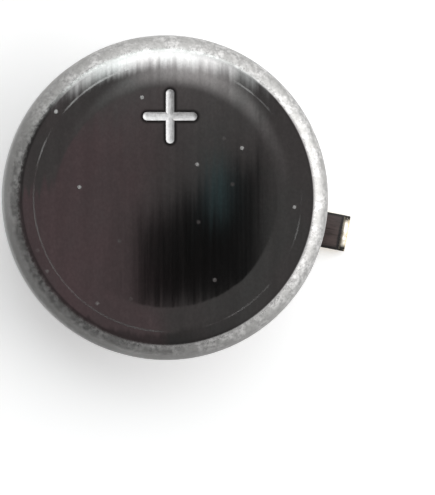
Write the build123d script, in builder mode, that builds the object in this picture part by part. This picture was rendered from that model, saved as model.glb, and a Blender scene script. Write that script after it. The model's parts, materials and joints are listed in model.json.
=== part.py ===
from build123d import *

import os
from math import cos, radians

# Rechargeable coin cell of the kind that solar watches hold, which watchmakers call a capacitor,
# with a spot-welded terminal tab. All sizes are millimetres.
#
# A drawn steel can is the positive pole. Its mouth is rolled over a moulded gasket, which holds
# and insulates a stepped steel cap, the negative pole. Two pressed electrode pellets lie inside,
# each stuck to its metal by a thin layer of conductive carbon, with a cup of separator fleece
# between them. A gold-plated strip is spot-welded to the cap and reaches past the can, with
# insulating film on both faces.
#
# Frame: the origin is on the cell's axis, in the plane that the cell rests on, which is the outer
# face of the film under the tab. +Z points to the positive face and +X along the tab.

# --- Can ---
can_diameter = 6.8
cell_height = 2.1  # from the cap's face to the can's face
can_wall = 0.20
can_corner_radius = 0.42  # outer radius between the side and the positive face
crease_angle = 10  # degrees, how steeply the corner leaves the positive face
crown_width = 0.75  # the band inside the corner where the positive face falls away
crown_drop = 0.03
crimp_radius = 0.32  # outer radius where the side is rolled over to the mouth
groove_inset = 0.47  # from the can's side to the groove that the crimping die leaves
groove_depth = 0.03
bead_inset = 0.60  # from the can's side to the crest of the mouth's rounded edge
bead_height = 0.10
mouth_inset = 0.70  # from the can's side to the end of the sheet

# --- Cap ---
cap_wall = 0.15
cap_rise = 0.14  # how far the cap's face stands out of the can's mouth
cap_corner_radius = 0.36
cap_shoulder_width = 0.47
cap_shoulder_depth = 0.52  # from the cap's face to the outside of its shoulder
shoulder_inner_bend = 0.10
shoulder_outer_bend = 0.25

# --- Gasket ---
gasket_wall = 0.25  # between the can's side and the cap's skirt
gasket_floor = 0.25  # between the can's face and the skirt's edge
gasket_leg_wall = 0.18  # the inner leg, which stands inside the skirt
gasket_recess = 0.07  # how far the gasket's visible end lies inside the can's mouth
gasket_bead = 0.03  # how far that end bulges

# --- Electrode stack ---
carbon_thickness = 0.04
pellet_clearance = 0.08
pellet_chamfer = 0.06
separator_lift = 0.20  # from the inside of the cap's shoulder to the separator
separator_thickness = 0.10
separator_clearance = 0.03
separator_rim_height = 0.25
separator_bend = 0.15

# --- Terminal tab ---
tab_thickness = 0.10
tab_width = 1.95
tab_back = 1.15  # from the cell's axis to the rounded end
tab_end_radius = 0.30
tab_taper_x = 1.62  # where the tab starts to narrow
neck_inset = 0.55  # from the can's side to the end of the taper
tip_width = 0.76
tip_overhang = 0.64  # how far the tip reaches past the can
tip_gap = 0.03  # from the film on the raised tip to the level of the can's mouth
step_run = 0.26  # the slope by which the tip rises towards the can
step_bend = 0.12
curl_run = 0.13  # the last of the tip, which bends away from the can
curl_drop = 0.05

# --- Spot welds, which press a shallow crater into the tab's outer face ---
middle_weld_x = -0.03
middle_weld_radius = 0.29
middle_weld_depth = 0.055
edge_weld_x = 1.34
edge_weld_radius = 0.24
edge_weld_depth = 0.05

# --- Insulating film ---
film_thickness = 0.05
film_margin = 0.06  # bare metal left round the outer film
window_margin = 0.05  # bare metal left round each weld
inner_film_gap = 0.05  # from the cap's side to the start of the inner film
bare_tip = 0.14  # from the end of the inner film to the end of the tip

# --- Levels and radii that follow ---
can_radius = can_diameter / 2
can_inner_radius = can_radius - can_wall
cap_face_z = film_thickness + tab_thickness
top_z = cap_face_z + cell_height
can_floor_z = top_z - can_wall
crimp_z = cap_face_z + cap_rise
mouth_radius = can_radius - mouth_inset
skirt_radius = can_inner_radius - gasket_wall
skirt_inner_radius = skirt_radius - cap_wall
skirt_edge_z = can_floor_z - gasket_floor
cap_top_radius = skirt_radius - cap_shoulder_width
cap_inner_radius = cap_top_radius - cap_wall
cap_inner_z = cap_face_z + cap_wall
shoulder_z = cap_face_z + cap_shoulder_depth
mouth_z = crimp_z + gasket_recess
negative_pellet_z = cap_inner_z + carbon_thickness
separator_z = shoulder_z + cap_wall + separator_lift
separator_rim_z = separator_z + separator_rim_height
positive_pellet_z = separator_z + separator_thickness
positive_carbon_z = can_floor_z - carbon_thickness
leg_radius = skirt_inner_radius - gasket_leg_wall
leg_end_z = separator_rim_z + separator_clearance
neck_x = can_radius - neck_inset
step_height = cap_rise - film_thickness - tip_gap
tip_x = can_radius + tip_overhang


# ---------------------------------------------------------------- positive can
def can_outer_line():
    """The can's outer surface, from the axis to the end of the sheet at its mouth."""
    corner_z = top_z - crown_drop - can_corner_radius * cos(radians(crease_angle))
    corner = CenterArc(
        (can_radius - can_corner_radius, corner_z),
        can_corner_radius,
        90 - crease_angle,
        crease_angle - 90,
    )
    flat_edge = ((corner @ 0).X - crown_width, top_z)
    Line((0, top_z), flat_edge)
    TangentArc(flat_edge, corner @ 0, tangent=(1, 0))
    roll_centre = (can_radius - crimp_radius, crimp_z + crimp_radius)
    roll = CenterArc(roll_centre, crimp_radius, 0, -90)
    Line(corner @ 1, roll @ 0)
    groove = (can_radius - groove_inset, crimp_z + groove_depth)
    Line(roll @ 1, groove)
    bead_crest = (can_radius - bead_inset, crimp_z)
    TangentArc(bead_crest, groove, tangent=(1, 0))
    TangentArc(bead_crest, (mouth_radius, crimp_z + bead_height), tangent=(-1, 0))


def can_depth_line(depth):
    """The can's section at a depth in its wall, from the axis to the mouth, without fine forms."""
    FilletPolyline(
        (0, top_z - depth),
        (can_radius - depth, top_z - depth),
        (can_radius - depth, crimp_z + depth),
        (mouth_radius + can_wall - depth, crimp_z + depth),
        radius=[can_corner_radius - depth, crimp_radius - depth],
    )


with BuildSketch(Plane.XZ) as can_section:
    with BuildLine():
        can_outer_line()
        Line((mouth_radius, crimp_z + bead_height), (mouth_radius, crimp_z + can_wall))
        can_depth_line(can_wall)
        Line((0, can_floor_z), (0, top_z))
    make_face()

with BuildPart() as positive_can:
    revolve(can_section.sketch, axis=Axis.Z)


# ---------------------------------------------------------------- negative cap
def cap_line(depth):
    """The cap's section at a depth below its outer surface, from the axis to the skirt's edge."""
    FilletPolyline(
        (0, cap_face_z + depth),
        (cap_top_radius - depth, cap_face_z + depth),
        (cap_top_radius - depth, shoulder_z + depth),
        (skirt_radius - depth, shoulder_z + depth),
        (skirt_radius - depth, skirt_edge_z),
        radius=[
            cap_corner_radius - depth,
            shoulder_inner_bend + depth,
            shoulder_outer_bend - depth,
        ],
    )


with BuildPart() as negative_cap:
    with BuildSketch(Plane.XZ):
        with BuildLine():
            cap_line(0)
            Line((skirt_radius, skirt_edge_z), (skirt_inner_radius, skirt_edge_z))
            cap_line(cap_wall)
            Line((0, cap_inner_z), (0, cap_face_z))
        make_face()
    revolve(axis=Axis.Z)


# ---------------------------------------------------------------- sealing gasket
# It fills the space between can and cap, so its section is cut from that space: all that the
# middle of the can's wall encloses, less the can, less the cap and what the cap encloses. The
# inner leg is then added inside the skirt.
mid_wall = can_wall / 2
end_inner_point = (cap_top_radius, mouth_z)
end_outer_point = (mouth_radius + mid_wall, mouth_z)

with BuildPart() as sealing_gasket:
    with BuildSketch(Plane.XZ):
        with BuildLine():
            can_depth_line(mid_wall)
            Line((mouth_radius + mid_wall, crimp_z + mid_wall), end_outer_point)
            SagittaArc(end_outer_point, end_inner_point, gasket_bead)
            Polyline(end_inner_point, (0, mouth_z), (0, top_z - mid_wall))
        make_face()
        add(can_section.sketch_local, mode=Mode.SUBTRACT)
        with BuildLine():
            cap_line(0)
            Polyline(
                (skirt_radius, skirt_edge_z),
                (leg_radius, skirt_edge_z),
                (leg_radius, top_z),
                (0, top_z),
                (0, cap_face_z),
            )
        make_face(mode=Mode.SUBTRACT)
        with Locations((leg_radius, leg_end_z)):
            Rectangle(gasket_leg_wall, skirt_edge_z - leg_end_z, align=(Align.MIN, Align.MIN))
    revolve(axis=Axis.Z)


# ---------------------------------------------------------------- electrode stack
with BuildPart() as negative_carbon_layer:
    with BuildSketch(Plane.XY.offset(cap_inner_z)):
        Circle(cap_top_radius - cap_corner_radius)
    extrude(amount=carbon_thickness)

with BuildPart() as negative_pellet:
    with BuildSketch(Plane.XY.offset(negative_pellet_z)):
        Circle(cap_inner_radius - pellet_clearance)
    extrude(amount=separator_z - negative_pellet_z)
    cap_edge, separator_edge = negative_pellet.edges().filter_by(GeomType.CIRCLE).sort_by(Axis.Z)
    fillet(cap_edge, radius=cap_corner_radius - cap_wall)
    chamfer(separator_edge, length=pellet_chamfer)


def separator_line(depth):
    """The separator's section at a depth above its lower face, from the axis to its rim."""
    radius = skirt_inner_radius - separator_clearance - depth
    FilletPolyline(
        (0, separator_z + depth),
        (radius, separator_z + depth),
        (radius, separator_rim_z),
        radius=separator_bend - depth,
    )


with BuildPart() as separator:
    with BuildSketch(Plane.XZ):
        with BuildLine():
            separator_line(0)
            separator_line(separator_thickness)
            Line((0, separator_z), (0, positive_pellet_z))
            rim_outer = (skirt_inner_radius - separator_clearance, separator_rim_z)
            Line(rim_outer, (rim_outer[0] - separator_thickness, separator_rim_z))
        make_face()
    revolve(axis=Axis.Z)

with BuildPart() as positive_pellet:
    with BuildSketch(Plane.XY.offset(positive_pellet_z)):
        Circle(leg_radius - pellet_clearance)
    extrude(amount=positive_carbon_z - positive_pellet_z)
    chamfer(positive_pellet.edges().filter_by(GeomType.CIRCLE), length=pellet_chamfer)

with BuildPart() as positive_carbon_layer:
    with BuildSketch(Plane.XY.offset(positive_carbon_z)):
        Circle(leg_radius - pellet_clearance)
    extrude(amount=carbon_thickness)


# ---------------------------------------------------------------- terminal tab
with BuildSketch() as tab_outline:
    with BuildLine():
        Polyline(
            (tip_x, -tip_width / 2),
            (neck_x, -tip_width / 2),
            (tab_taper_x, -tab_width / 2),
            (-tab_back, -tab_width / 2),
            (-tab_back, tab_width / 2),
            (tab_taper_x, tab_width / 2),
            (neck_x, tip_width / 2),
            (tip_x, tip_width / 2),
            close=True,
        )
    make_face()
    fillet(tab_outline.vertices().group_by(Axis.X)[0], radius=tab_end_radius)


def strip_line(height):
    """The tab's line from the side, at a height over the resting plane on its flat stretch."""
    FilletPolyline(
        (-tab_back, height),
        (neck_x, height),
        (neck_x + step_run, height + step_height),
        (tip_x - curl_run, height + step_height),
        (tip_x, height + step_height - curl_drop),
        radius=step_bend,
    )


def strip_section(low, high):
    """A layer of the tab from the side, between two heights on its flat stretch."""
    tip_rise = step_height - curl_drop
    with BuildSketch(Plane.XZ) as section:
        with BuildLine():
            strip_line(low)
            strip_line(high)
            Line((-tab_back, low), (-tab_back, high))
            Line((tip_x, low + tip_rise), (tip_x, high + tip_rise))
        make_face()
    return section.sketch


with BuildPart() as terminal_tab:
    extrude(strip_section(film_thickness, cap_face_z), amount=tab_width, both=True)
    extrude(tab_outline.sketch, amount=top_z, mode=Mode.INTERSECT)
    for weld_x, radius, depth in (
        (middle_weld_x, middle_weld_radius, middle_weld_depth),
        (edge_weld_x, edge_weld_radius, edge_weld_depth),
    ):
        bowl_radius = (radius**2 + depth**2) / (2 * depth)
        with Locations((weld_x, 0, film_thickness + depth - bowl_radius)):
            Sphere(bowl_radius, mode=Mode.SUBTRACT)


# ---------------------------------------------------------------- insulating films
with BuildPart() as outer_film:
    with BuildSketch():
        add(tab_outline.sketch)
        offset(amount=-film_margin, mode=Mode.REPLACE)
        with Locations((neck_x, 0)):
            Rectangle(tip_x, tab_width, align=(Align.MIN, Align.CENTER), mode=Mode.SUBTRACT)
        with Locations((middle_weld_x, 0)):
            Circle(middle_weld_radius + window_margin, mode=Mode.SUBTRACT)
        with Locations((edge_weld_x, 0)):
            Circle(edge_weld_radius + window_margin, mode=Mode.SUBTRACT)
    extrude(amount=film_thickness)

inner_film_x = cap_top_radius + inner_film_gap
inner_film_length = tip_x - bare_tip - inner_film_x

with BuildPart() as inner_film:
    extrude(
        strip_section(cap_face_z, cap_face_z + film_thickness),
        amount=tab_width,
        both=True,
    )
    with BuildSketch():
        add(tab_outline.sketch)
        with Locations((inner_film_x, 0)):
            Rectangle(
                inner_film_length,
                tab_width,
                align=(Align.MIN, Align.CENTER),
                mode=Mode.INTERSECT,
            )
    extrude(amount=top_z, mode=Mode.INTERSECT)


# ---------------------------------------------------------------- files
pieces = {
    "positive_can": positive_can,
    "negative_cap": negative_cap,
    "sealing_gasket": sealing_gasket,
    "negative_carbon_layer": negative_carbon_layer,
    "negative_pellet": negative_pellet,
    "separator": separator,
    "positive_pellet": positive_pellet,
    "positive_carbon_layer": positive_carbon_layer,
    "terminal_tab": terminal_tab,
    "outer_film": outer_film,
    "inner_film": inner_film,
}
os.makedirs("parts", exist_ok=True)
for name, piece in pieces.items():
    piece.part.label = name
    export_step(piece.part, f"parts/{name}.step")
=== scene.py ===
# A rechargeable coin cell of the kind that solar watches hold, with its welded terminal tab, lying
# on its tab with the positive face up. Pieces are modelled in millimetres, as by hand, and brought
# to metres when they are finished.
import json
from math import atan, cos, hypot, pi, radians, sin, tan, tau

import bmesh
import bpy
from mathutils import Matrix, Vector


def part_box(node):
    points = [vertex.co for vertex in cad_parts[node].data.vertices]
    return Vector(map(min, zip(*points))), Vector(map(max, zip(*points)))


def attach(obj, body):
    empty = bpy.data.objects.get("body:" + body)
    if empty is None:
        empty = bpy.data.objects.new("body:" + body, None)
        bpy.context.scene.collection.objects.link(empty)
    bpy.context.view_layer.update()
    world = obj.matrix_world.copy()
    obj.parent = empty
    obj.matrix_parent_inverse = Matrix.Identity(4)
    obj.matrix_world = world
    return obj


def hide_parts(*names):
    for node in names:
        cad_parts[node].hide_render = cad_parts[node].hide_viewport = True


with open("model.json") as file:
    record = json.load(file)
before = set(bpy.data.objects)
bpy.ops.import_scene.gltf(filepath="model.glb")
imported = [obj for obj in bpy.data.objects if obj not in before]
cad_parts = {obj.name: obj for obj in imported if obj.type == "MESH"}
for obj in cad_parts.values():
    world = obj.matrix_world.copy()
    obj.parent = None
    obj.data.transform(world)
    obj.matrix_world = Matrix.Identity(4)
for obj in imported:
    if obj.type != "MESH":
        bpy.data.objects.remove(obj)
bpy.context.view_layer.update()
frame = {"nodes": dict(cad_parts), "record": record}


# ------------------------------------------------------------------------------------------------
# Positive can. The real one is deep-drawn from nickel-plated stainless strip about 0.2 mm thick,
# with the strip's rolled grain left on its polished face and a duller, tumbled side. Its mouth is
# crimped in over the gasket, and the plus sign is stamped into the face.
METRE = 0.001  # one millimetre, in the frame's unit
SPIN_STEPS = 256

mounts = {mount["name"]: mount for mount in frame["record"]["mounts"]}
can_radius = mounts["can_side"]["dims"]["r_mm"]
face_z = mounts["positive_face"]["pos_m"][2] / METRE
mouth_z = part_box("positive_can")[0][2] / METRE
can_wall = 0.20
corner_radius = 0.42
crease_angle = radians(10)
crown_width = 0.75
crown_drop = 0.03
roll_radius = 0.32
groove_radius = can_radius - 0.47  # the groove that the crimping die leaves in the end
groove_depth = 0.03
bead_crest = can_radius - 0.60
bead_height = 0.10
lip_radius = can_radius - 0.70
corner_x = can_radius - corner_radius
crease_x = corner_x + corner_radius * sin(crease_angle)
crown_start = crease_x - crown_width
inner_radius = can_radius - can_wall
inner_roll = roll_radius - can_wall
inner_corner = corner_radius - can_wall
floor_z = face_z - can_wall  # the can's floor, on the inside of its face
scuff_radius = 2.80  # a faint ring that the drawing punch rubs into the face
grain_turn = radians(10.7)  # the strip's rolled grain, which the stamp follows and the tab doesn't

plus_turn = grain_turn
plus_place = (0.05, 1.69)
plus_arm = 0.57
plus_groove = 0.092  # half the stroke's width
plus_depth = 0.042


def deselect_all():
    bpy.ops.object.select_all(action="DESELECT")


def arc(centre, radius, start, end, steps):
    """Points on an arc between two angles in degrees, both ends included."""
    turn = [radians(start + (end - start) * i / steps) for i in range(steps + 1)]
    return [(centre[0] + radius * cos(a), centre[1] + radius * sin(a)) for a in turn]


def spin_outline(name, outline, steps=SPIN_STEPS):
    """Draws a closed outline of (radius, height) points and spins it about the cell's axis."""
    deselect_all()
    bpy.ops.mesh.primitive_plane_add(size=1)
    piece = bpy.context.object
    piece.name = name
    bpy.ops.object.mode_set(mode="EDIT")
    bpy.ops.mesh.select_mode(type="VERT")
    bpy.ops.mesh.merge(type="CENTER")
    start = outline[0]
    bpy.ops.transform.translate(value=(start[0], 0, start[1]))
    here = start
    for there in outline[1:]:
        step = (there[0] - here[0], 0, there[1] - here[1])
        bpy.ops.mesh.extrude_vertices_move(TRANSFORM_OT_translate={"value": step})
        here = there
    drawing = bmesh.from_edit_mesh(piece.data)
    if max(start[0], here[0]) > 0:
        for vert in drawing.verts:
            vert.select = len(vert.link_edges) == 1
        bpy.ops.mesh.edge_face_add()
    bpy.ops.mesh.select_all(action="SELECT")
    bpy.ops.mesh.spin(steps=steps, angle=tau, center=(0, 0, 0), axis=(0, 0, 1))
    bpy.ops.mesh.select_all(action="SELECT")
    bpy.ops.mesh.remove_doubles(threshold=0.0005)
    bpy.ops.mesh.normals_make_consistent(inside=False)
    bpy.ops.object.mode_set(mode="OBJECT")
    return piece


def dissolve_flat(piece, height, radius):
    """Makes one face of the flat disc of a spun piece at a height, inside a radius."""
    bpy.ops.object.mode_set(mode="EDIT")
    bpy.ops.mesh.select_mode(type="FACE")
    bpy.ops.mesh.select_all(action="DESELECT")
    drawing = bmesh.from_edit_mesh(piece.data)
    for face in drawing.faces:
        middle = face.calc_center_median()
        flat = all(abs(vert.co.z - height) < 0.001 for vert in face.verts)
        face.select = flat and hypot(middle.x, middle.y) < radius
    bmesh.update_edit_mesh(piece.data)
    bpy.ops.mesh.dissolve_faces()
    bpy.ops.object.mode_set(mode="OBJECT")


def cut_with(piece, cutter):
    """Cuts one solid out of another and removes the cutter."""
    deselect_all()
    piece.select_set(True)
    bpy.context.view_layer.objects.active = piece
    cut = piece.modifiers.new("cut", "BOOLEAN")
    cut.operation = "DIFFERENCE"
    cut.solver = "EXACT"
    cut.object = cutter
    bpy.ops.object.modifier_apply(modifier=cut.name)
    bpy.data.objects.remove(cutter)


def capsule(place, along, half_length, radius):
    """A round-ended bar of a radius about a place, its ends' centres half_length away."""
    deselect_all()
    bpy.ops.mesh.primitive_uv_sphere_add(segments=48, ring_count=24, radius=radius)
    bar = bpy.context.object
    bpy.ops.object.mode_set(mode="EDIT")
    bpy.ops.mesh.select_mode(type="VERT")
    drawing = bmesh.from_edit_mesh(bar.data)
    bpy.ops.transform.rotate(value=pi / 2, orient_axis="Y", center_override=(0, 0, 0))
    for side in (1, -1):
        for vert in drawing.verts:
            vert.select = vert.co.x * side > 0.0001
        bpy.ops.transform.translate(value=(side * half_length, 0, 0))
    bpy.ops.mesh.select_all(action="SELECT")
    bpy.ops.transform.rotate(value=-along, orient_axis="Z", center_override=(0, 0, 0))
    bpy.ops.transform.translate(value=place)
    bpy.ops.object.mode_set(mode="OBJECT")
    return bar


def finish_piece(piece, material, *nodes):
    """Brings a piece to metres, gives it its finish and lets it stand for its CAD nodes."""
    deselect_all()
    piece.select_set(True)
    bpy.context.view_layer.objects.active = piece
    bpy.ops.transform.resize(value=(METRE,) * 3, center_override=(0, 0, 0))
    bpy.ops.object.transform_apply(location=True, rotation=True, scale=True)
    bpy.ops.object.shade_smooth_by_angle(angle=radians(28))
    piece.data.materials.clear()
    piece.data.materials.append(material)
    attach(piece, "root")
    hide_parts(*nodes)


def face_height(radius):
    """The height of the positive face at a radius, with its crown."""
    return face_z - max(0, (radius - crown_start) / crown_width) ** 2 * crown_drop


def can_outline():
    corner_z = face_z - crown_drop - corner_radius * cos(crease_angle)
    face_steps = 32
    face_radii = [crown_start + crown_width * i / face_steps for i in range(face_steps)]
    face = [(0, face_z), (crown_start - 0.03, face_z)] + [(r, face_height(r)) for r in face_radii]
    corner = arc((corner_x, corner_z), corner_radius, 80, 0, 16)
    roll = arc((can_radius - roll_radius, mouth_z + roll_radius), roll_radius, 0, -90, 14)
    groove_run = bead_crest - groove_radius
    bead_radius = (groove_run**2 + groove_depth**2) / (2 * groove_depth)
    bead_end = 2 * atan(groove_depth / -groove_run) * 180 / pi
    bead = arc((bead_crest, mouth_z + bead_radius), bead_radius, bead_end - 90, -90, 8)
    lip = arc((bead_crest, mouth_z + bead_height), bead_crest - lip_radius, -90, -180, 8)
    inside = (
        [(lip_radius, mouth_z + can_wall)]
        + arc((inner_radius - inner_roll, mouth_z + roll_radius), inner_roll, -90, 0, 5)
        + arc((inner_radius - inner_corner, floor_z - inner_corner), inner_corner, 0, 90, 6)
        + [(0, floor_z)]
    )
    return face + corner + roll + bead + lip[1:] + inside


can = spin_outline("positive_can_shell", can_outline())
dissolve_flat(can, face_z, corner_x - crown_width)

# The stamped plus sign: two crossed grooves with round bottoms and round ends.
plus_radius = (plus_groove**2 + plus_depth**2) / (2 * plus_depth)
plus_right = Vector((cos(plus_turn), sin(plus_turn), 0))
plus_up = Vector((-sin(plus_turn), cos(plus_turn), 0))
plus_middle = plus_right * plus_place[0] + plus_up * plus_place[1]
plus_middle.z = face_z + plus_radius - plus_depth
for direction in (plus_turn, plus_turn + pi / 2):
    cut_with(can, capsule(plus_middle, direction, plus_arm - plus_groove, plus_radius))


def new_material(name, color, metallic, roughness):
    """A material with its shader, its node tree and Object coordinates in millimetres."""
    material = bpy.data.materials.new(name)
    material.use_nodes = True
    tree = material.node_tree
    shader = tree.nodes["Principled BSDF"]
    shader.inputs["Base Color"].default_value = (*color, 1)
    shader.inputs["Metallic"].default_value = metallic
    shader.inputs["Roughness"].default_value = roughness
    place = tree.nodes.new("ShaderNodeTexCoord").outputs["Object"]
    return material, tree, shader, place


def mapped(tree, place, scale, turn=0.0):
    """Coordinates in millimetres, turned about the axis and stretched."""
    mapping = tree.nodes.new("ShaderNodeMapping")
    mapping.vector_type = "TEXTURE"
    mapping.inputs["Rotation"].default_value = (0, 0, turn)
    mapping.inputs["Scale"].default_value = [METRE / s for s in scale]
    tree.links.new(place, mapping.inputs["Vector"])
    return mapping.outputs["Vector"]


def noise(tree, vector, detail=3.0, roughness=0.55, distortion=0.0):
    """Noise as fine as the stretch of its coordinates makes it."""
    texture = tree.nodes.new("ShaderNodeTexNoise")
    texture.inputs["Scale"].default_value = 1.0
    texture.inputs["Detail"].default_value = detail
    texture.inputs["Roughness"].default_value = roughness
    texture.inputs["Distortion"].default_value = distortion
    tree.links.new(vector, texture.inputs["Vector"])
    return texture.outputs["Fac"]


def ramp(tree, value, low, high, to_low=0.0, to_high=1.0):
    """A value between low and high, moved smoothly to another range."""
    node = tree.nodes.new("ShaderNodeMapRange")
    node.interpolation_type = "SMOOTHSTEP"
    for socket, number in zip(node.inputs[1:5], (low, high, to_low, to_high)):
        socket.default_value = number
    tree.links.new(value, node.inputs[0])
    return node.outputs[0]


def math(tree, operation, first, second=None):
    """One sum on values, each a number or a socket."""
    node = tree.nodes.new("ShaderNodeMath")
    node.operation = operation
    for socket, value in zip(node.inputs, (first, second)):
        if isinstance(value, (int, float)):
            socket.default_value = value
        elif value is not None:
            tree.links.new(value, socket)
    return node.outputs[0]


def blend_colors(tree, factor, first, second):
    """Mixes two colours, each a tuple or a socket."""
    node = tree.nodes.new("ShaderNodeMix")
    node.data_type = "RGBA"
    sockets = [node.inputs[i] for i in (0, 6, 7)]
    for socket, value in zip(sockets, (factor, first, second)):
        if isinstance(value, tuple):
            socket.default_value = (*value, 1)
        elif isinstance(value, (int, float)):
            socket.default_value = value
        else:
            tree.links.new(value, socket)
    return node.outputs[2]


def bump(tree, height, distance, strength=1.0, below=None):
    """A bump of a height that is distance millimetres deep."""
    node = tree.nodes.new("ShaderNodeBump")
    node.inputs["Strength"].default_value = strength
    node.inputs["Distance"].default_value = distance * METRE
    tree.links.new(height, node.inputs["Height"])
    if below is not None:
        tree.links.new(below, node.inputs["Normal"])
    return node.outputs["Normal"]


def radius_and_height(tree, place):
    """The distance from the cell's axis and the height, in millimetres."""
    split = tree.nodes.new("ShaderNodeSeparateXYZ")
    tree.links.new(mapped(tree, place, (1, 1, 1)), split.inputs[0])
    squares = [math(tree, "POWER", split.outputs[i], 2.0) for i in (0, 1)]
    radius = math(tree, "SQRT", math(tree, "ADD", *squares))
    return radius, split.outputs[2]


def to_plus(tree, place):
    """The distance to the edge of the stamped plus sign, in millimetres and less than 0 inside."""
    centre = tree.nodes.new("ShaderNodeVectorMath")
    centre.operation = "SUBTRACT"
    tree.links.new(mapped(tree, place, (1, 1, 1), plus_turn), centre.inputs[0])
    centre.inputs[1].default_value = (*plus_place, 0)
    split = tree.nodes.new("ShaderNodeSeparateXYZ")
    tree.links.new(centre.outputs[0], split.inputs[0])
    sideways, upwards = [math(tree, "ABSOLUTE", split.outputs[i]) for i in (0, 1)]
    reach = plus_arm - plus_groove
    distances = []
    for first, second in ((sideways, upwards), (upwards, sideways)):
        past_end = math(tree, "MAXIMUM", math(tree, "SUBTRACT", first, reach), 0.0)
        squares = [math(tree, "POWER", value, 2.0) for value in (past_end, second)]
        distances.append(math(tree, "SQRT", math(tree, "ADD", *squares)))
    return math(tree, "SUBTRACT", math(tree, "MINIMUM", *distances), plus_groove)


def mix_values(tree, factor, first, second):
    """Mixes two values, each a number or a socket."""
    node = tree.nodes.new("ShaderNodeMix")
    sockets = [node.inputs[i] for i in (0, 2, 3)]
    for socket, value in zip(sockets, (factor, first, second)):
        if isinstance(value, (int, float)):
            socket.default_value = value
        else:
            tree.links.new(value, socket)
    return node.outputs[0]


def one_channel(tree, color):
    """The red channel of a colour."""
    node = tree.nodes.new("ShaderNodeSeparateColor")
    tree.links.new(color, node.inputs[0])
    return node.outputs[0]


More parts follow.
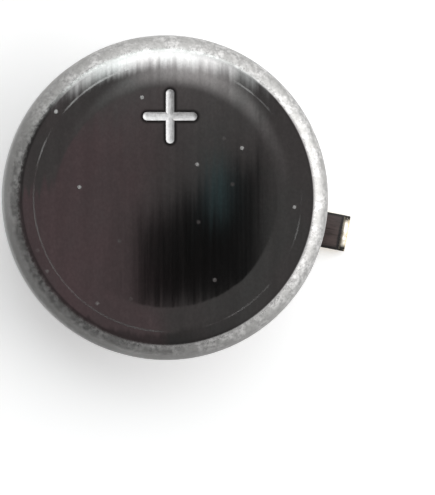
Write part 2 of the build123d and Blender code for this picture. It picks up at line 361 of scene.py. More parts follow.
def can_steel():
    material, tree, shader, place = new_material("nickel_steel", (0.56, 0.53, 0.52), 1.0, 0.16)
    link = tree.links.new
    radius, height = radius_and_height(tree, place)
    below_face = ramp(tree, height, face_z - 0.10, face_z - 0.20)
    on_rim = math(tree, "MAXIMUM", ramp(tree, radius, 3.030, 3.100), below_face)
    outwards = ramp(tree, radius, 3.16, 3.36)
    towards_flank = tree.nodes.new("ShaderNodeVectorMath")
    towards_flank.operation = "DOT_PRODUCT"
    link(mapped(tree, place, (1, 1, 1)), towards_flank.inputs[0])
    towards_flank.inputs[1].default_value = (-0.62, -0.78, 0)
    flank = towards_flank.outputs["Value"]
    # painted shade: the outer rim is darkened on its lower-left flank, the side away from the light
    painted_flank_shade = ramp(tree, flank, -2.6, 2.4, 0.0, 0.8)
    painted_flank_shade = math(tree, "ADD", painted_flank_shade, ramp(tree, flank, 2.6, 3.2, 0.0, 0.2))
    plus_edge = to_plus(tree, place)
    stamped = math(tree, "MULTIPLY", ramp(tree, plus_edge, 0.0, -0.012), ramp(tree, height, 2.1, 2.15))
    # painted shadow: a dark halo just outside the edges of the stamped plus sign
    painted_plus_shadow = math(tree, "MULTIPLY", ramp(tree, plus_edge, 0.080, 0.012), ramp(tree, height, 2.1, 2.15))

    # the strip's rolled grain, broad faint bands, clouds of handling, blotches, dust and the rim's mottle
    grain = noise(tree, mapped(tree, place, (14, 0.30, 1), grain_turn), detail=3, roughness=0.6)
    bands = noise(tree, mapped(tree, place, (3.2, 0.16, 1), grain_turn), detail=3)
    clouds = noise(tree, mapped(tree, place, (0.55, 0.45, 1), grain_turn), detail=3, distortion=0.4)
    blotches = noise(tree, mapped(tree, place, (4.5, 3.0, 4), grain_turn), detail=4, roughness=0.6)
    speckle = noise(tree, mapped(tree, place, (17, 13, 13), grain_turn), detail=3, roughness=0.7)
    dust = tree.nodes.new("ShaderNodeTexVoronoi")
    dust.voronoi_dimensions = "2D"
    dust.inputs["Scale"].default_value = 1.0
    link(mapped(tree, place, (1.15, 1.15, 1), 0.4), dust.inputs["Vector"])
    dusty = ramp(tree, one_channel(tree, dust.outputs["Color"]), 0.45, 0.95)
    specks = math(tree, "MULTIPLY", ramp(tree, dust.outputs["Distance"], 0.065, 0.030), dusty)
    from_scuff = math(tree, "ABSOLUTE", math(tree, "SUBTRACT", radius, scuff_radius))
    scuffed = math(tree, "MAXIMUM", ramp(tree, clouds, 0.40, 0.60), ramp(tree, flank, 1.5, 2.3))
    scuff = math(tree, "MULTIPLY", ramp(tree, from_scuff, 0.028, 0.008), scuffed)
    mottle = noise(tree, mapped(tree, place, (11, 11, 11)), detail=5, roughness=0.72)
    coarse = noise(tree, mapped(tree, place, (2.8, 2.8, 2.8)), detail=3)

    face = blend_colors(tree, ramp(tree, clouds, 0.38, 0.62), (0.570, 0.530, 0.532), (0.525, 0.532, 0.525))
    face = blend_colors(tree, ramp(tree, bands, 0.35, 0.7, 0, 0.40), face, (0.40, 0.385, 0.38))
    face = blend_colors(tree, ramp(tree, blotches, 0.45, 0.75, 0, 0.35), face, (0.68, 0.64, 0.63))
    face = blend_colors(tree, ramp(tree, speckle, 0.35, 0.65, 0, 0.30), face, (0.36, 0.34, 0.34))
    face = blend_colors(tree, math(tree, "MULTIPLY", specks, 0.7), face, (0.85, 0.84, 0.83))
    # painted shade along the crease where the face turns into the rim
    face = blend_colors(tree, ramp(tree, radius, 2.98, 3.04, 0, 0.2), face, (0.2, 0.19, 0.19))
    # the painted shadow around the plus sign
    face = blend_colors(tree, painted_plus_shadow, face, (0.13, 0.125, 0.125))
    stamp = blend_colors(tree, ramp(tree, mottle, 0.35, 0.65), (0.66, 0.655, 0.655), (0.86, 0.855, 0.855))
    face = blend_colors(tree, stamped, face, stamp)
    side = blend_colors(tree, ramp(tree, mottle, 0.36, 0.64), (0.36, 0.355, 0.35), (0.72, 0.71, 0.70))
    side = blend_colors(tree, ramp(tree, coarse, 0.42, 0.60, 0, 0.65), side, (0.40, 0.395, 0.385))
    drawn_smooth = ramp(tree, height, 2.0, 1.1, 0.0, 0.92)
    side = blend_colors(tree, drawn_smooth, side, (0.58, 0.57, 0.56))
    # painted shade on the outer rim's lower-left flank
    side = blend_colors(tree, math(tree, "MULTIPLY", outwards, painted_flank_shade), side, (0.16, 0.157, 0.153))
    link(blend_colors(tree, on_rim, face, side), shader.inputs["Base Color"])

    smeared = math(tree, "MULTIPLY", ramp(tree, bands, 0.4, 0.75, 0, 0.006), ramp(tree, clouds, 0.42, 0.60))
    polish = math(tree, "ADD", ramp(tree, grain, 0.3, 0.7, 0.028, 0.036), smeared)
    marks = math(tree, "MAXIMUM", math(tree, "MULTIPLY", specks, 0.25), math(tree, "MULTIPLY", scuff, 0.20))
    polish = math(tree, "ADD", polish, marks)
    frosted = ramp(tree, mottle, 0.3, 0.7, 0.55, 0.75)
    tumbled = ramp(tree, mottle, 0.3, 0.7, 0.30, 0.50)
    dull = math(tree, "MULTIPLY", tumbled, ramp(tree, radius, 3.05, 3.22, 0.45, 1.0))
    dull = mix_values(tree, drawn_smooth, dull, ramp(tree, mottle, 0.3, 0.7, 0.16, 0.25))
    on_face = mix_values(tree, stamped, polish, frosted)
    link(mix_values(tree, on_rim, on_face, dull), shader.inputs["Roughness"])

    fine = bump(tree, grain, 0.00004, 0.5)
    skin_fade = math(tree, "MAXIMUM", ramp(tree, radius, 3.06, 3.20), below_face)
    skin_fade = math(tree, "SUBTRACT", skin_fade, drawn_smooth)
    rough_skin = math(tree, "MULTIPLY", math(tree, "SUBTRACT", mottle, 0.5), skin_fade)
    skin = bump(tree, rough_skin, 0.008, 0.9, fine)
    # the rolled grain leans a little up and down, more so where the face is drawn over its edge
    furrows = noise(tree, mapped(tree, place, (8, 0.25, 1), grain_turn), detail=2)
    leaning = math(tree, "SUBTRACT", furrows, 0.5)
    leaning = math(tree, "MULTIPLY", leaning, ramp(tree, radius, 2.3, 2.7, 0.004, 0.030))
    lean = tree.nodes.new("ShaderNodeVectorMath")
    lean.operation = "SCALE"
    lean.inputs[0].default_value = plus_up
    link(math(tree, "MULTIPLY", leaning, ramp(tree, on_rim, 0.0, 0.5, 1.0, 0.0)), lean.inputs["Scale"])
    leant = tree.nodes.new("ShaderNodeVectorMath")
    link(skin, leant.inputs[0])
    link(lean.outputs[0], leant.inputs[1])
    unit = tree.nodes.new("ShaderNodeVectorMath")
    unit.operation = "NORMALIZE"
    link(leant.outputs[0], unit.inputs[0])
    link(unit.outputs[0], shader.inputs["Normal"])
    return material


finish_piece(can, can_steel(), "positive_can")


# ------------------------------------------------------------------------------------------------
# Negative cap. The real one is a stepped steel cup, dull on its face, whose rim stands upside
# down inside the gasket. The terminal tab is spot-welded to its face.
cap_face_z = 0.15
cap_wall = 0.15
cap_radius = 2.48
cap_corner = 0.36
skirt_radius = 2.95
shoulder_z = cap_face_z + 0.52
inner_bend = 0.10
outer_bend = 0.25
skirt_edge_z = face_z - can_wall - 0.25


def cap_line(depth):
    """The cap's section at a depth in its wall, from the axis to the skirt's edge."""
    corner = (cap_radius - cap_corner, cap_face_z + cap_corner)
    inner = (cap_radius + inner_bend, shoulder_z - inner_bend)
    outer = (skirt_radius - outer_bend, shoulder_z + outer_bend)
    return (
        [(0, cap_face_z + depth)]
        + arc(corner, cap_corner - depth, -90, 0, 12)
        + arc(inner, inner_bend + depth, 180, 90, 6)
        + arc(outer, outer_bend - depth, -90, 0, 8)
        + [(skirt_radius - depth, skirt_edge_z)]
    )


cap = spin_outline("negative_cap_shell", cap_line(0) + cap_line(cap_wall)[::-1])
dissolve_flat(cap, cap_face_z, cap_radius - cap_corner)


def cap_steel():
    material, tree, shader, place = new_material("cap_steel", (0.55, 0.52, 0.51), 1.0, 0.34)
    link = tree.links.new
    grain = noise(tree, mapped(tree, place, (11, 11, 11)), detail=5, roughness=0.75)
    patches = noise(tree, mapped(tree, place, (1.1, 1.1, 1.1)), detail=3)
    brushed = noise(tree, mapped(tree, place, (1.2, 14, 1), radians(35)), detail=4)
    warm = blend_colors(tree, ramp(tree, patches, 0.35, 0.65), (0.64, 0.525, 0.545), (0.70, 0.65, 0.64))
    grainy = blend_colors(tree, ramp(tree, grain, 0.36, 0.64, 0, 0.70), warm, (0.33, 0.29, 0.30))
    link(grainy, shader.inputs["Base Color"])
    link(ramp(tree, grain, 0.3, 0.7, 0.48, 0.36), shader.inputs["Roughness"])
    lines = bump(tree, brushed, 0.001, 0.5)
    link(bump(tree, grain, 0.006, 0.8, lines), shader.inputs["Normal"])
    return material


finish_piece(cap, cap_steel(), "negative_cap")


# ------------------------------------------------------------------------------------------------
# Sealing gasket. The real one is a black moulded plastic ring that fills the space between can
# and cap. Only its end shows, squeezed into a bead against the cap, with a groove beside the can.
gasket_end_z = mouth_z + 0.07
gasket_bead = 0.042  # the radius of the bead that is squeezed out beside the cap
gasket_hollow = 0.045  # the radius of the groove beside that bead
gasket_wall = 0.18
pellet_rise = 0.20  # how far the negative pellet stands above the inside of the cap's shoulder
fleece_height = 0.25
leg_clearance = 0.03
leg_radius = skirt_radius - cap_wall - gasket_wall
leg_end_z = shoulder_z + cap_wall + pellet_rise + fleece_height + leg_clearance


def gasket_outline():
    bead_z = gasket_end_z + 0.012
    end = (
        [(cap_radius, gasket_end_z + 0.02)]
        + arc((cap_radius + 0.045, bead_z), gasket_bead, 180, 360, 8)
        + arc((cap_radius + 0.135, bead_z), gasket_hollow, 180, 90, 4)[1:]
        + [(lip_radius, gasket_end_z + 0.06), (lip_radius, mouth_z + can_wall)]
    )
    outside = (
        arc((inner_radius - inner_roll, mouth_z + roll_radius), inner_roll, -90, 0, 4)
        + arc((inner_radius - inner_corner, floor_z - inner_corner), inner_corner, 0, 90, 5)
    )
    inside = [
        (leg_radius, floor_z),
        (leg_radius, leg_end_z),
        (skirt_radius - cap_wall, leg_end_z),
        (skirt_radius - cap_wall, skirt_edge_z),
        (skirt_radius, skirt_edge_z),
    ]
    under_shoulder = (
        arc((skirt_radius - outer_bend, shoulder_z + outer_bend), outer_bend, 0, -90, 6)
        + arc((cap_radius + inner_bend, shoulder_z - inner_bend), inner_bend, 90, 180, 4)
    )
    return end + outside + inside + under_shoulder


def gasket_plastic():
    material, tree, shader, place = new_material("gasket_black", (0.012, 0.012, 0.013), 0.0, 0.42)
    fine = noise(tree, mapped(tree, place, (7, 7, 7)), detail=4)
    dust = noise(tree, mapped(tree, place, (3, 3, 3)), detail=3)
    color = blend_colors(tree, ramp(tree, dust, 0.5, 0.75), (0.011, 0.011, 0.012), (0.035, 0.034, 0.033))
    tree.links.new(color, shader.inputs["Base Color"])
    tree.links.new(ramp(tree, fine, 0.3, 0.7, 0.32, 0.55), shader.inputs["Roughness"])
    tree.links.new(bump(tree, fine, 0.003, 0.6), shader.inputs["Normal"])
    return material


gasket = spin_outline("gasket_ring", gasket_outline())
finish_piece(gasket, gasket_plastic(), "sealing_gasket")


# ------------------------------------------------------------------------------------------------
# Terminal tab. The real one is stamped from gold-plated strip, 0.1 mm thick. Two spot welds hold
# it to the cap, each with the electrode's crater and a heat tint, and its narrow tip steps up
# towards the can and bends down at the end, where it is soldered or pressed to the board.
tab_back = 1.15
tab_half = 0.975
tab_thickness = 0.10
taper_x = 1.62
neck_x = 2.85
tip_half = 0.38
tip_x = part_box("terminal_tab")[1].x / METRE
step_x = neck_x + 0.26
step_height = 0.06
curl_x = tip_x - 0.13
curl_drop = 0.05
bend_width = 0.020
back_corner = 0.30
broken_edge = 0.012
inner_film_end = tip_x - 0.14  # from here on the tip is bare
tab_outer_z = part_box("terminal_tab")[0].z / METRE
welds = ((-0.03, 0.29, 0.055), (1.34, 0.24, 0.05))  # place along the tab, radius, depth


def select_where(piece, mode, test):
    """In edit mode, selects the vertices, edges or faces that pass a test."""
    bpy.ops.mesh.select_mode(type=mode)
    bpy.ops.mesh.select_all(action="DESELECT")
    drawing = bmesh.from_edit_mesh(piece.data)
    for element in {"VERT": drawing.verts, "EDGE": drawing.edges, "FACE": drawing.faces}[mode]:
        element.select = test(element)
    drawing.select_flush_mode()
    bmesh.update_edit_mesh(piece.data)


def crosses_at(x):
    """A test for edges that run straight across the strip at a place along it."""
    return lambda edge: all(abs(vert.co.x - x) < 0.0005 for vert in edge.verts)


def strip_sheet(name, start, end, margin=0.0):
    """A flat sheet with the tab's plan between two places along it, kept inside its outline."""
    slant = atan((tab_half - tip_half) / (neck_x - taper_x))
    half = tab_half - margin
    narrow = tip_half - margin / cos(slant)
    bend = taper_x - margin * tan(slant / 2)
    deselect_all()
    bpy.ops.mesh.primitive_plane_add(size=1)
    sheet = bpy.context.object
    sheet.name = name
    bpy.ops.object.mode_set(mode="EDIT")
    bpy.ops.transform.resize(value=(end - start, 2 * half, 1), center_override=(0, 0, 0))
    bpy.ops.transform.translate(value=((start + end) / 2, 0, 0))
    for place in (bend, neck_x, step_x, curl_x):
        if start < place < end - 0.001:
            bpy.ops.mesh.select_all(action="SELECT")
            bpy.ops.mesh.bisect(plane_co=(place, 0, 0), plane_no=(1, 0, 0))
    if start < bend:
        select_where(sheet, "VERT", lambda vert: vert.co.x > neck_x - 0.001)
        bpy.ops.transform.resize(value=(1, narrow / half, 1), center_override=(0, 0, 0))
    else:
        first = tip_half + (neck_x - start) * tan(slant)
        select_where(sheet, "VERT", lambda vert: vert.co.x < start + 0.001)
        bpy.ops.transform.resize(value=(1, first / half, 1), center_override=(0, 0, 0))
        select_where(sheet, "VERT", lambda vert: vert.co.x > neck_x - 0.001)
        bpy.ops.transform.resize(value=(1, tip_half / half, 1), center_override=(0, 0, 0))
    return sheet


def raise_tip(sheet, end):
    """Steps the tip up towards the can, curls its end down and rounds the bend lines."""
    select_where(sheet, "VERT", lambda vert: vert.co.x > step_x - 0.001)
    bpy.ops.transform.translate(value=(0, 0, step_height))
    if end > curl_x:
        select_where(sheet, "VERT", lambda vert: vert.co.x > curl_x + 0.001)
        bpy.ops.transform.translate(value=(0, 0, -curl_drop))
    for place in (neck_x, step_x, curl_x):
        select_where(sheet, "EDGE", crosses_at(place))
        bpy.ops.mesh.bevel(offset=bend_width, segments=4)


def round_back(sheet, radius):
    """Rounds the two corners at the back of a strip."""
    back = min(vert.co.x for vert in bmesh.from_edit_mesh(sheet.data).verts)
    select_where(sheet, "VERT", lambda vert: vert.co.x < back + 0.001)
    bpy.ops.mesh.bevel(
        affect="VERTICES", offset=radius, offset_type="OFFSET", segments=10, profile=0.5
    )


def thicken(sheet, thickness, low, edge):
    """Gives a sheet its thickness, cuts its end square, lowers it to a height and breaks its edges."""
    end = max(vert.co.x for vert in bmesh.from_edit_mesh(sheet.data).verts)
    bpy.ops.mesh.select_all(action="SELECT")
    bpy.ops.mesh.normals_make_consistent(inside=False)
    bpy.ops.object.mode_set(mode="OBJECT")
    wall = sheet.modifiers.new("wall", "SOLIDIFY")
    wall.thickness = thickness
    wall.offset = 1 if sheet.data.polygons[0].normal.z > 0 else -1
    bpy.ops.object.modifier_apply(modifier=wall.name)
    bpy.ops.object.mode_set(mode="EDIT")
    select_where(sheet, "VERT", lambda vert: vert.co.x > end - 0.005)
    bpy.ops.transform.resize(value=(0, 1, 1), center_override=(end, 0, 0))
    bpy.ops.object.mode_set(mode="OBJECT")
    broken = sheet.modifiers.new("edges", "BEVEL")
    broken.width = edge
    broken.segments = 2
    broken.limit_method = "ANGLE"
    broken.angle_limit = radians(35)
    bpy.ops.object.modifier_apply(modifier=broken.name)
    bpy.ops.object.mode_set(mode="EDIT")
    bpy.ops.mesh.select_all(action="SELECT")
    bpy.ops.transform.translate(value=(0, 0, low))
    bpy.ops.object.mode_set(mode="OBJECT")


def weld_cutter(radius, depth):
    """What an electrode presses out of the tab: a crater with a soft lip, a moat and a nipple."""
    section = [
        (0, depth * 0.70),
        (radius * 0.12, depth * 0.72),
        (radius * 0.24, depth * 0.88),
        (radius * 0.38, depth),
        (radius * 0.55, depth * 0.94),
        (radius * 0.70, depth * 0.74),
        (radius * 0.84, depth * 0.40),
        (radius * 0.93, depth * 0.14),
        (radius, 0),
        (radius * 1.04, -0.004),
        (radius * 1.10, -0.05),
        (0, -0.05),
    ]
    return spin_outline("crater", section, 64)


tab = strip_sheet("tab_strip", -tab_back, tip_x)
raise_tip(tab, tip_x)
round_back(tab, back_corner)
thicken(tab, tab_thickness, tab_outer_z, broken_edge)
for x, radius, depth in welds:
    crater = weld_cutter(radius, depth)
    bpy.ops.object.mode_set(mode="EDIT")
    bpy.ops.mesh.select_all(action="SELECT")
    bpy.ops.transform.translate(value=(x, 0, tab_outer_z))
    bpy.ops.object.mode_set(mode="OBJECT")
    cut_with(tab, crater)


def near_weld(tree, place, x):
    """The distance from a weld's centre, in millimetres."""
    moved = tree.nodes.new("ShaderNodeVectorMath")
    moved.operation = "SUBTRACT"
    tree.links.new(mapped(tree, place, (1, 1, 1)), moved.inputs[0])
    moved.inputs[1].default_value = (x, 0, tab_outer_z)
    length = tree.nodes.new("ShaderNodeVectorMath")
    length.operation = "LENGTH"
    tree.links.new(moved.outputs[0], length.inputs[0])
    return length.outputs["Value"]


def strip_place(tree, place):
    """The place along the strip, the distance from its middle line and the height, in millimetres."""
    split = tree.nodes.new("ShaderNodeSeparateXYZ")
    tree.links.new(mapped(tree, place, (1, 1, 1)), split.inputs[0])
    return split.outputs[0], math(tree, "ABSOLUTE", split.outputs[1]), split.outputs[2]


def gold_plate():
    material, tree, shader, place = new_material("gold_plate", (0.80, 0.60, 0.25), 1.0, 0.26)
    link = tree.links.new
    along, aside, height = strip_place(tree, place)
    drawn = noise(tree, mapped(tree, place, (0.8, 18, 18)), detail=4, roughness=0.65)
    patches = noise(tree, mapped(tree, place, (2.5, 2.5, 2.5)), detail=3)
    patchy_noise = noise(tree, mapped(tree, place, (6, 6, 6)), detail=4, roughness=0.7)
    color = blend_colors(tree, ramp(tree, patches, 0.35, 0.7), (0.84, 0.64, 0.22), (0.70, 0.51, 0.13))
    color = blend_colors(tree, ramp(tree, drawn, 0.35, 0.75, 0, 0.35), color, (0.46, 0.33, 0.08))
    # the upper side of the tip's end is painted pale as a painted highlight, in uneven patches, with
    # painted shade beside the inner film's end and along the tip's side edges, and dark patches at the
    # end's corners
    upper = ramp(tree, height, tab_outer_z + step_height + 0.02, tab_outer_z + step_height + 0.07)
    # painted highlight on the upper side of the tip's end
    painted_tip_highlight = math(tree, "MULTIPLY", ramp(tree, along, curl_x - 0.06, curl_x - 0.02), 0.9)
    pale = blend_colors(tree, ramp(tree, patchy_noise, 0.40, 0.60), (0.34, 0.33, 0.32), (0.72, 0.70, 0.66))
    # painted shade on the tip beside the inner film's end
    painted_film_end_shade = ramp(tree, along, inner_film_end + 0.075, inner_film_end + 0.025, 0.0, 0.8)
    pale = blend_colors(tree, painted_film_end_shade, pale, (0.11, 0.105, 0.10))
    color = blend_colors(tree, math(tree, "MULTIPLY", painted_tip_highlight, upper), color, pale)
    # painted shade along the tip's side edges
    painted_tip_edge_shade = math(tree, "MULTIPLY", ramp(tree, aside, tip_half - 0.05, tip_half - 0.02), upper)
    # dark patches at the corners of the tip's end
    corner = ramp(tree, aside, 0.22, 0.31)
    corner = math(tree, "MULTIPLY", corner, ramp(tree, along, curl_x - 0.03, curl_x + 0.04))
    corner = math(tree, "MULTIPLY", corner, ramp(tree, patchy_noise, 0.34, 0.46))
    dark_edges_and_corners = math(tree, "MAXIMUM", corner, painted_tip_edge_shade)
    color = blend_colors(tree, math(tree, "MULTIPLY", dark_edges_and_corners, 0.99), color, (0.016, 0.015, 0.013))
    for x, radius, _ in welds:
        distance = near_weld(tree, place, x)
        tint = ramp(tree, distance, radius * 1.5, radius * 1.05)
        color = blend_colors(tree, tint, color, (0.16, 0.085, 0.08))
        burnt = ramp(tree, distance, radius * 1.05, radius * 0.92)
        color = blend_colors(tree, burnt, color, (0.07, 0.055, 0.075))
        uneven = math(tree, "ADD", distance, ramp(tree, patchy_noise, 0.35, 0.65, -0.03, 0.03))
        bare = ramp(tree, uneven, radius * 0.82, radius * 0.55)
        color = blend_colors(tree, bare, color, (0.80, 0.78, 0.80))
    link(color, shader.inputs["Base Color"])
    link(ramp(tree, drawn, 0.3, 0.7, 0.20, 0.34), shader.inputs["Roughness"])
    link(bump(tree, drawn, 0.0012, 0.6), shader.inputs["Normal"])
    return material


finish_piece(tab, gold_plate(), "terminal_tab")


# ------------------------------------------------------------------------------------------------
# Insulating films. The real ones are amber polyimide film with adhesive on one side. The outer
# one covers the tab's flat and has a window at each weld; the inner one keeps the tip off the can.
film_thickness = 0.05
film_margin = 0.06
film_edge = 0.008
window_margin = 0.05
inner_film_start = cap_radius + 0.05
fold_x = 1.56  # where the outer film was folded across, just behind the taper; the fold is not modelled but painted as a line of shade

outer_film = strip_sheet("outer_film_sheet", film_margin - tab_back, neck_x, film_margin)
round_back(outer_film, back_corner - film_margin)
thicken(outer_film, film_thickness, 0, film_edge)
for x, radius, _ in welds:
    deselect_all()
    bpy.ops.mesh.primitive_cylinder_add(vertices=64, radius=radius + window_margin, depth=0.3)
    punch = bpy.context.object
    bpy.ops.object.mode_set(mode="EDIT")
    bpy.ops.transform.translate(value=(x, 0, 0))
    bpy.ops.object.mode_set(mode="OBJECT")
    cut_with(outer_film, punch)

inner_film = strip_sheet("inner_film_sheet", inner_film_start, inner_film_end)
raise_tip(inner_film, inner_film_end)
thicken(inner_film, film_thickness, tab_outer_z + tab_thickness, film_edge)


def amber(name, light, middle, dark, roughness, shine, fold=None, film_edge_shade=None):
    """Amber film with fine lines along it. It may have painted shade along a fold across it, or painted
    shade along its laser-cut edges.
    """
    material, tree, shader, place = new_material(name, middle, 0.0, roughness)
    link = tree.links.new
    lines = noise(tree, mapped(tree, place, (1.8, 21, 21)), detail=5, roughness=0.7)
    patches = noise(tree, mapped(tree, place, (2.2, 3.0, 3.0)), detail=4, distortion=0.5)
    color = blend_colors(tree, ramp(tree, lines, 0.35, 0.68), dark, middle)
    color = blend_colors(tree, ramp(tree, patches, 0.45, 0.75, 0, 0.45), color, light)
    along, aside, _ = strip_place(tree, place)
    if fold:
        from_fold = math(tree, "ABSOLUTE", math(tree, "SUBTRACT", along, fold))
        # painted shade along the fold line
        color = blend_colors(tree, ramp(tree, from_fold, 0.026, 0.008, 0, 0.45), color, dark)
    if film_edge_shade:
        ragged = math(tree, "MULTIPLY", math(tree, "SUBTRACT", patches, 0.5), 0.05)
        side_edge = ramp(tree, math(tree, "ADD", aside, ragged), tip_half - 0.080, tip_half - 0.035)
        ragged_end = math(tree, "ADD", along, ragged)
        end_edge = ramp(tree, ragged_end, inner_film_end - 0.075, inner_film_end - 0.040)
        # painted shade along the film's side edges and its end
        film_edge_mask = math(tree, "MAXIMUM", side_edge, end_edge)
        color = blend_colors(tree, math(tree, "MULTIPLY", film_edge_mask, 0.92), color, film_edge_shade)
    link(color, shader.inputs["Base Color"])
    shader.inputs["Specular IOR Level"].default_value = shine
    shader.inputs["Coat Weight"].default_value = shine * 0.7
    shader.inputs["Coat Roughness"].default_value = 0.12
    link(ramp(tree, lines, 0.3, 0.7, roughness * 0.8, roughness * 1.4), shader.inputs["Roughness"])
    link(bump(tree, lines, 0.0015, 0.6), shader.inputs["Normal"])
    return material


outer_amber = amber(
    "amber_film",
    (0.48, 0.120, 0.012),
    (0.35, 0.062, 0.006),
    (0.21, 0.030, 0.004),
    0.28,
    0.15,
    fold=fold_x,
)
inner_amber = amber(
    "amber_film_inner",
    (0.100, 0.072, 0.066),
    (0.074, 0.052, 0.049),
    (0.040, 0.031, 0.029),
    0.30,
    0.25,
    film_edge_shade=(0.006, 0.005, 0.005),
)
finish_piece(outer_film, outer_amber, "outer_film")
finish_piece(inner_film, inner_amber, "inner_film")


# ------------------------------------------------------------------------------------------------
# Electrode stack, hidden in the sealed cell. The real pellets are pressed powders, each on a
# layer of carbon paint, with a cup of white separator fleece between them.
def powder(name, color, fleck, scale, roughness, depth):
    """A pressed powder or paint with flecks in it. Depth is that of its grain, in millimetres."""
    material, tree, shader, place = new_material(name, color, 0.0, roughness)
    grains = noise(tree, mapped(tree, place, (scale,) * 3), detail=5, roughness=0.75)
    spots = tree.nodes.new("ShaderNodeTexVoronoi")
    spots.inputs["Scale"].default_value = 1.0
    tree.links.new(mapped(tree, place, (scale * 1.4,) * 3), spots.inputs["Vector"])
    mixed = blend_colors(tree, ramp(tree, grains, 0.35, 0.7), color, fleck)
    mixed = blend_colors(tree, ramp(tree, spots.outputs["Distance"], 0.1, 0.0, 0, 0.7), mixed, fleck)
    tree.links.new(mixed, shader.inputs["Base Color"])
    dull = ramp(tree, grains, 0.3, 0.7, roughness - 0.1, roughness + 0.1)
    tree.links.new(dull, shader.inputs["Roughness"])
    tree.links.new(bump(tree, grains, depth), shader.inputs["Normal"])
    return material


def fleece():
    material, tree, shader, place = new_material("separator_fleece", (0.80, 0.79, 0.75), 0.0, 0.9)
    fibres = [
        noise(tree, mapped(tree, place, (1.5, 22, 22), radians(turn)), detail=4, distortion=0.8)
        for turn in (0, 62, 121)
    ]
    weave = math(tree, "MAXIMUM", fibres[0], math(tree, "MAXIMUM", fibres[1], fibres[2]))
    color = blend_colors(tree, ramp(tree, weave, 0.5, 0.75), (0.66, 0.65, 0.61), (0.84, 0.83, 0.80))
    tree.links.new(color, shader.inputs["Base Color"])
    tree.links.new(bump(tree, weave, 0.02), shader.inputs["Normal"])
    return material


carbon_paint = powder("carbon_paint", (0.016, 0.016, 0.017), (0.06, 0.06, 0.062), 12, 0.6, 0.004)
stack_finishes = {
    "negative_carbon_layer": carbon_paint,
    "positive_pellet": powder("positive_mix", (0.030, 0.030, 0.031), (0.10, 0.10, 0.10), 9, 0.8, 0.010),
    "negative_pellet": powder("negative_mix", (0.050, 0.052, 0.056), (0.16, 0.16, 0.17), 9, 0.75, 0.010),
    "separator": fleece(),
    "positive_carbon_layer": carbon_paint,
}
for node, finish in stack_finishes.items():
    mesh = frame["nodes"][node].data
    mesh.materials.clear()
    mesh.materials.append(finish)


# ------------------------------------------------------------------------------------------------
# Camera, floor and light. The camera looks almost straight down on the positive face, turned so
# that the plus sign stands upright. The part lies on pale paper in a plain, softly lit room.
view_turn = plus_turn
view_right = Vector((cos(view_turn), sin(view_turn), 0))
view_up = Vector((-sin(view_turn), cos(view_turn), 0))
camera_distance = 0.12
middle = Vector((0, 0, 0.0012))
towards_camera = Vector((0, 0, 1)) - tan(radians(3.8)) * view_right - tan(radians(0.7)) * view_up
aim = middle + (1.12 * view_right - 1.042 * view_up) * METRE
visible_height = 10.42 * METRE

camera_data = bpy.data.cameras.new("camera")
camera = bpy.data.objects.new("camera", camera_data)
bpy.context.scene.collection.objects.link(camera)
camera.location = middle + towards_camera.normalized() * camera_distance
back = (camera.location - aim).normalized()
right = (view_right - view_right.dot(back) * back).normalized()
up = back.cross(right)
camera.rotation_mode = "QUATERNION"
camera.rotation_quaternion = Matrix((right, up, back)).transposed().to_quaternion()
camera_data.sensor_width = 36
camera_data.lens = camera_data.sensor_width / 2 / (visible_height / 2 / (camera.location - aim).length)
camera_data.clip_start = 0.001
camera_data.clip_end = 10
bpy.context.scene.camera = camera
bpy.context.scene.view_settings.view_transform = "Standard"

deselect_all()
bpy.ops.mesh.primitive_plane_add(size=3, location=(0, 0, -0.00001))
floor = bpy.context.object
floor.name = "floor"
bpy.ops.object.transform_apply(location=True)


def floor_paper():
    """Pale paper that the camera sees as white, apart from the shadow on it."""
    material = bpy.data.materials.new("floor_paper")
    material.use_nodes = True
    tree = material.node_tree
    shader = tree.nodes["Principled BSDF"]
    shader.inputs["Base Color"].default_value = (0.86, 0.86, 0.86, 1)
    shader.inputs["Roughness"].default_value = 0.9
    shader.inputs["Specular IOR Level"].default_value = 0.0
    shader.inputs["Emission Color"].default_value = (1, 1, 1, 1)
    path = tree.nodes.new("ShaderNodeLightPath")
    mirrored = math(tree, "MAXIMUM", path.outputs["Is Glossy Ray"], path.outputs["Is Transmission Ray"])
    seen = math(tree, "MULTIPLY", path.outputs["Is Camera Ray"], 0.40)
    seen = math(tree, "MAXIMUM", seen, math(tree, "MULTIPLY", mirrored, 0.25))
    tree.links.new(seen, shader.inputs["Emission Strength"])
    return material


floor.data.materials.append(floor_paper())

world = bpy.data.worlds.new("studio")
bpy.context.scene.world = world
world.use_nodes = True
sky = world.node_tree
background = sky.nodes["Background"]
direction = sky.nodes.new("ShaderNodeTexCoord").outputs["Generated"]


def facing(vector):
    """How much a direction of the sky faces a vector."""
    node = sky.nodes.new("ShaderNodeVectorMath")
    node.operation = "DOT_PRODUCT"
    sky.links.new(direction, node.inputs[0])
    node.inputs[1].default_value = vector
    return node.outputs["Value"]


# Away from straight above, the room is brighter towards the window side.
height = facing((0, 0, 1))
bright = view_right * cos(radians(40)) + view_up * sin(radians(40))
around = ramp(sky, facing(bright), -0.85, 0.70, 0.13, 1.35)

# Straight above it is dark, with the stand that holds the camera. The polished face mirrors only
# this small part of the sky, given here as the slope of each direction from straight up.
across_sky, up_sky = [
    math(sky, "DIVIDE", facing(axis), math(sky, "MAXIMUM", height, 0.05))
    for axis in (view_right, view_up)
]


def window(value, low, high, soft):
    """1 between two slopes and 0 outside them, with soft edges."""
    rise = ramp(sky, value, low - soft, low + soft)
    return math(sky, "MULTIPLY", rise, ramp(sky, value, high - soft, high + soft, 1.0, 0.0))


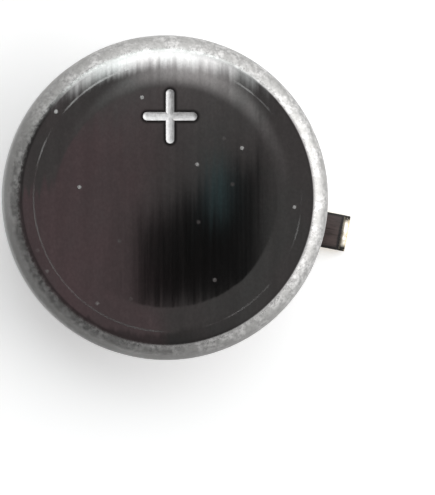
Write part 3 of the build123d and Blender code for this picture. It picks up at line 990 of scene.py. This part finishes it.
# One side of the room is warmer. There is a glow beyond the top of the face, and a slanted dark
# stand before its lower right with a blue glint beside it.
warm_side = ramp(sky, across_sky, 0.072, 0.055)
slanted = math(sky, "SUBTRACT", up_sky, math(sky, "MULTIPLY", across_sky, 0.552))
above_slant = ramp(sky, slanted, -0.0060, 0.0000)
cool_corner = math(sky, "MULTIPLY", above_slant, ramp(sky, up_sky, 0.014, 0.022, 0, 0.9))
warm = math(sky, "MULTIPLY", warm_side, math(sky, "SUBTRACT", 1.0, cool_corner))
above = blend_colors(sky, warm, (0.082, 0.080, 0.079), (0.116, 0.088, 0.092))
glow = math(sky, "MULTIPLY", ramp(sky, up_sky, 0.016, 0.11), ramp(sky, across_sky, 0.02, 0.078))
glow = math(sky, "MULTIPLY", glow, ramp(sky, across_sky, 0.085, 0.16, 1.0, 0.0))
above = blend_colors(sky, glow, above, (0.54, 0.55, 0.545))
below_slant = ramp(sky, slanted, -0.0225, -0.0295)
below_slant = math(sky, "MULTIPLY", below_slant, ramp(sky, up_sky, -0.0085, -0.0050))
stand = math(sky, "MULTIPLY", window(across_sky, 0.0615, 0.0840, 0.0010), below_slant)
above = blend_colors(sky, stand, above, (0.008, 0.008, 0.008))
glint = window(across_sky, 0.0745, 0.077, 0.001)
glint = math(sky, "MULTIPLY", glint, window(up_sky, 0.009, 0.018, 0.003))
above = blend_colors(sky, glint, above, (0.060, 0.105, 0.112))
off_centre = ramp(sky, height, 0.992, 0.988)
dim_side = math(sky, "MULTIPLY", off_centre, ramp(sky, facing(bright), 0.05, -0.05, 0, 0.5))
above = blend_colors(sky, dim_side, above, (0.02, 0.02, 0.02))
room = sky.nodes.new("ShaderNodeCombineXYZ")
for socket in room.inputs:
    sky.links.new(around, socket)
dark_cone = math(sky, "SUBTRACT", height, math(sky, "MULTIPLY", facing(view_right), 0.15))
sky_color = blend_colors(sky, ramp(sky, dark_cone, 0.80, 0.90), room.outputs[0], above)

# A long soft box with feathered edges hangs beyond the top of the face.
near_edge = ramp(sky, up_sky, 0.104, 0.19)
box_edge = math(sky, "MULTIPLY", near_edge, ramp(sky, up_sky, 0.5, 0.95, 1.0, 0.0))
mirrored_across = 0.0664  # the slopes that the middle of the face mirrors to the camera
mirrored_up = 0.0122
box_side = math(
    sky,
    "DIVIDE",
    math(sky, "SUBTRACT", across_sky, mirrored_across),
    math(sky, "MAXIMUM", math(sky, "SUBTRACT", up_sky, mirrored_up), 0.02),
)
left_edge = ramp(sky, box_side, -1.35, -0.2)
box_width = math(sky, "MULTIPLY", left_edge, ramp(sky, box_side, 0.0, 1.1, 1.0, 0.0))
soft_box = math(sky, "MULTIPLY", box_edge, box_width)
sky_color = blend_colors(sky, soft_box, sky_color, (2.15, 2.28, 2.27))
path = sky.nodes.new("ShaderNodeLightPath")
sky_color = blend_colors(sky, path.outputs["Is Camera Ray"], sky_color, (1.0, 1.0, 1.0))
sky.links.new(sky_color, background.inputs["Color"])


def softbox(name, azimuth, lean, size, radiance):
    """A soft box 0.1 m away. Azimuth turns from the camera's right, lean is from straight up."""
    light = bpy.data.lights.new(name, "AREA")
    light.shape = "RECTANGLE"
    light.size, light.size_y = size
    light.energy = radiance * pi * size[0] * size[1]
    box = bpy.data.objects.new(name, light)
    bpy.context.scene.collection.objects.link(box)
    turn = view_turn + radians(azimuth)
    reach = sin(radians(lean))
    towards = Vector((reach * cos(turn), reach * sin(turn), cos(radians(lean))))
    box.location = middle + towards * 0.1
    box.rotation_mode = "QUATERNION"
    box.rotation_quaternion = towards.to_track_quat("Z", "Y")


softbox("softbox_right", 8, 60, (0.10, 0.08), 1.1)
